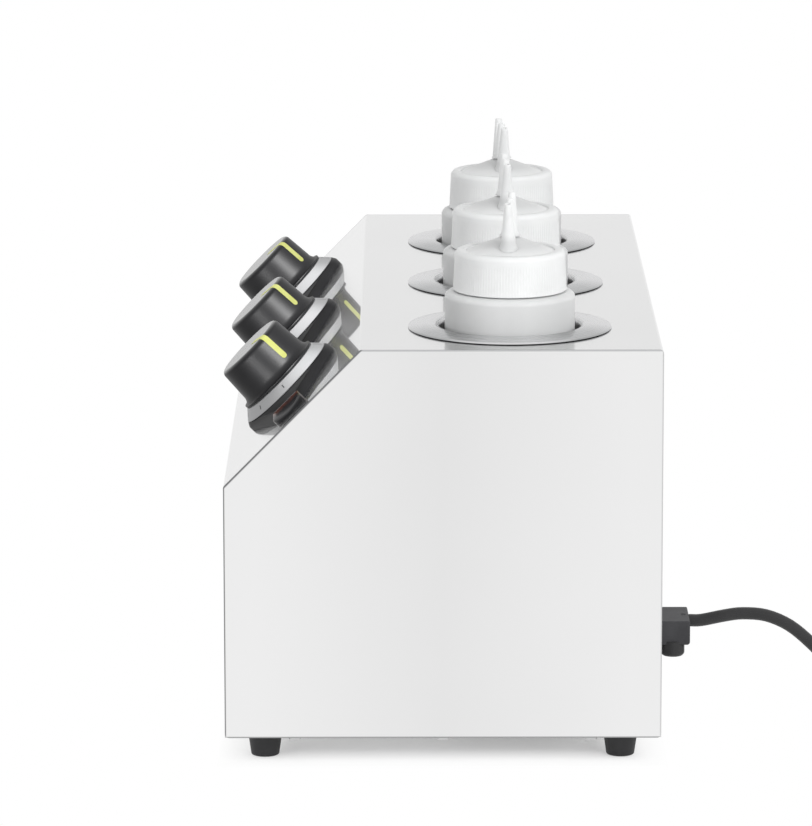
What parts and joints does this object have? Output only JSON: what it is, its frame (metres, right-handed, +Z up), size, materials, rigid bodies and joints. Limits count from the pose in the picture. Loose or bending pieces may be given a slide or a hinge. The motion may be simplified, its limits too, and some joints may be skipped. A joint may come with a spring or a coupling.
{
  "type": "hot topping bottle warmer",
  "caption": "Countertop warmer for hot fudge toppings: sloped-front steel housing, wells in a row holding squeeze bottles, a dial and lamp for each, rubber feet and a mains cord.",
  "frame": {"origin": "middle of the object on the surface that its feet stand on, measured without the cord, its entry block and the plug", "axes": "+X along the row of wells, towards the end whose lamps are outermost; +Y from the dials to the rear panel; +Z up"},
  "size_m": [0.45, 0.4476, 0.2974],
  "materials": {
    "housing_steel": "fine brushed, hot-rolled edges bent",
    "top_steel": "bright, nearly mirror polished",
    "well_steel": "concentrically turned",
    "inner_steel": "plain zinc-plated",
    "screw_steel": "zinc-plated",
    "knob_black": "satin moulded",
    "bezel_black": "semi-gloss moulded",
    "scale_silver": "fine radial brushed with printed marks",
    "pointer_lime": "moulded inlay",
    "lens_smoke": "smoked clear plastic",
    "lamp_amber": "tinted lamp envelope",
    "bottle_milky": "translucent milky",
    "cap_white": "satin moulded",
    "rubber_black": "matte",
    "cord_black": "semi-gloss",
    "contact_metal": "bright nickel-plated",
    "ceramic_cream": "glazed",
    "brass_plain": "plain",
    "wire_red": "silicone covered"
  },
  "bodies": {
    "root": {"housing_wrap": "top_steel", "side_panel_right": "housing_steel", "side_panel_left": "housing_steel", "rear_panel": "housing_steel", "base_plate": "housing_steel", "base_screws": "screw_steel", "rear_screws": "screw_steel", "feet": "rubber_black", "foot_screws": "screw_steel", "well_1": "well_steel", "well_2": "well_steel", "well_3": "well_steel", "band_heater_1": "inner_steel", "band_heater_2": "inner_steel", "band_heater_3": "inner_steel", "thermostat_1": "ceramic_cream", "thermostat_2": "ceramic_cream", "thermostat_3": "ceramic_cream", "capillary_1": "brass_plain", "capillary_2": "brass_plain", "capillary_3": "brass_plain", "thermostat_screws": "screw_steel", "bezel_1": "bezel_black", "bezel_2": "bezel_black", "bezel_3": "bezel_black", "lamp_lens_1": "lens_smoke", "lamp_lens_2": "lens_smoke", "lamp_lens_3": "lens_smoke", "indicator_lamps": "lamp_amber", "scale_ring_1": "scale_silver", "scale_ring_2": "scale_silver", "scale_ring_3": "scale_silver", "terminal_block": "ceramic_cream", "earth_stud": "brass_plain", "wiring": "wire_red", "cord_entry": "bezel_black", "clamp_cap": "rubber_black", "cord_lead": "cord_black", "cord_coil": "cord_black", "plug_body": "cord_black", "plug_contacts": "contact_metal"},
    "knob_1": {"knob_1": "knob_black", "pointer_1": "pointer_lime", "shaft_1": "screw_steel"},
    "knob_2": {"knob_2": "knob_black", "pointer_2": "pointer_lime", "shaft_2": "screw_steel"},
    "knob_3": {"knob_3": "knob_black", "pointer_3": "pointer_lime", "shaft_3": "screw_steel"},
    "bottle_1": {"bottle_1": "bottle_milky"},
    "bottle_2": {"bottle_2": "bottle_milky"},
    "bottle_3": {"bottle_3": "bottle_milky"},
    "cap_1": {"cap_1": "cap_white"},
    "cap_2": {"cap_2": "cap_white"},
    "cap_3": {"cap_3": "cap_white"}
  },
  "joints": [
    {"name": "knob_1_turn", "type": "hinge", "parent": "root", "child": "knob_1", "pos_m": [0.136, -0.08142, 0.18857], "axis": [0, -0.7119, 0.7023], "range_deg": [-247, 53]},
    {"name": "knob_2_turn", "type": "hinge", "parent": "root", "child": "knob_2", "pos_m": [-0.004, -0.08142, 0.18857], "axis": [0, -0.7119, 0.7023], "range_deg": [-264, 36]},
    {"name": "knob_3_turn", "type": "hinge", "parent": "root", "child": "knob_3", "pos_m": [-0.144, -0.08142, 0.18857], "axis": [0, -0.7119, 0.7023], "range_deg": [-269, 31]},
    {"name": "bottle_1_lift", "type": "slide", "parent": "root", "child": "bottle_1", "axis": [0, 0, 1], "range_m": [0, 0.2]},
    {"name": "bottle_2_lift", "type": "slide", "parent": "root", "child": "bottle_2", "axis": [0, 0, 1], "range_m": [0, 0.2]},
    {"name": "bottle_3_lift", "type": "slide", "parent": "root", "child": "bottle_3", "axis": [0, 0, 1], "range_m": [0, 0.2]},
    {"name": "cap_1_off", "type": "slide", "parent": "bottle_1", "child": "cap_1", "axis": [0, 0, 1], "range_m": [0, 0.05]},
    {"name": "cap_2_off", "type": "slide", "parent": "bottle_2", "child": "cap_2", "axis": [0, 0, 1], "range_m": [0, 0.05]},
    {"name": "cap_3_off", "type": "slide", "parent": "bottle_3", "child": "cap_3", "axis": [0, 0, 1], "range_m": [0, 0.05]}
  ]
}
